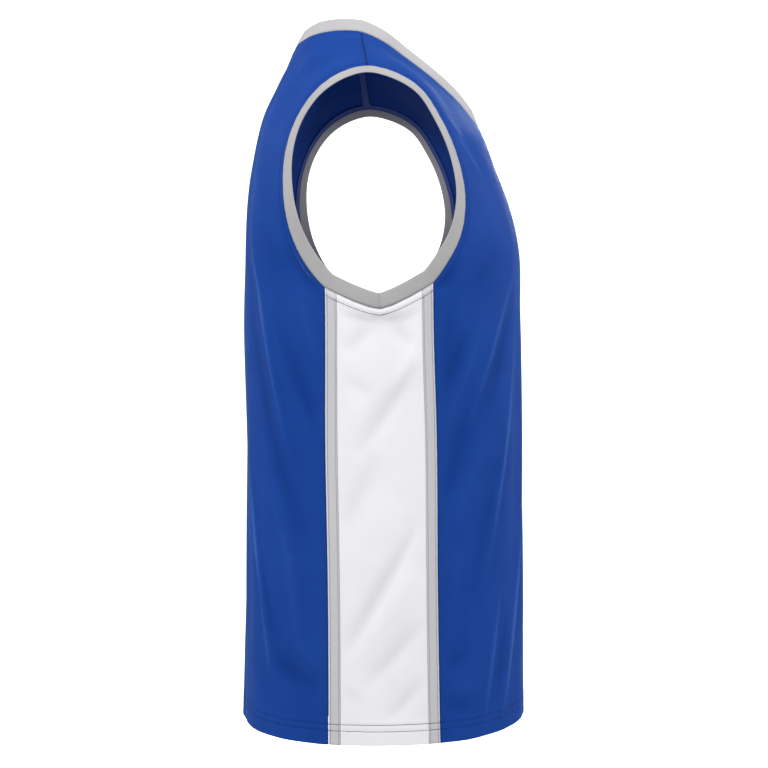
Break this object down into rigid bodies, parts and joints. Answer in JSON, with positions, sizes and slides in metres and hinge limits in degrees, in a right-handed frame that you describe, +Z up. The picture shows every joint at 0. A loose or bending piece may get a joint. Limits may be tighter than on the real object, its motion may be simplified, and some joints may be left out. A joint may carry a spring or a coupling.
{
  "type": "sleeveless flag football jersey",
  "caption": "Sleeveless V-neck flag football jersey with side panels, taped side seams and banded neck and armholes, in the hollow form that it has when worn.",
  "frame": {"origin": "midway between the two side neck points, where the shoulder seams meet the neckline and the wearer's shoulders carry the garment", "axes": "+Z up, the front faces -Y, and the wearer's right side is at -X"},
  "size_m": [0.3954, 0.3175, 0.7723],
  "materials": {
    "blue_knit": "royal blue polyester interlock knit with a soft sheen",
    "white_knit": "white polyester interlock knit",
    "grey_band": "silver-grey knit, folded double",
    "grey_tape": "light grey woven tape",
    "navy_thread": "navy sewing thread"
  },
  "bodies": {
    "root": {"front_panel": "blue_knit", "back_panel": "blue_knit", "side_panel_right": "white_knit", "side_panel_left": "white_knit", "side_tape_front_right": "grey_tape", "side_tape_back_right": "grey_tape", "side_tape_front_left": "grey_tape", "side_tape_back_left": "grey_tape", "neck_band": "grey_band", "armhole_band_right": "grey_band", "armhole_band_left": "grey_band"}
  },
  "joints": []
}
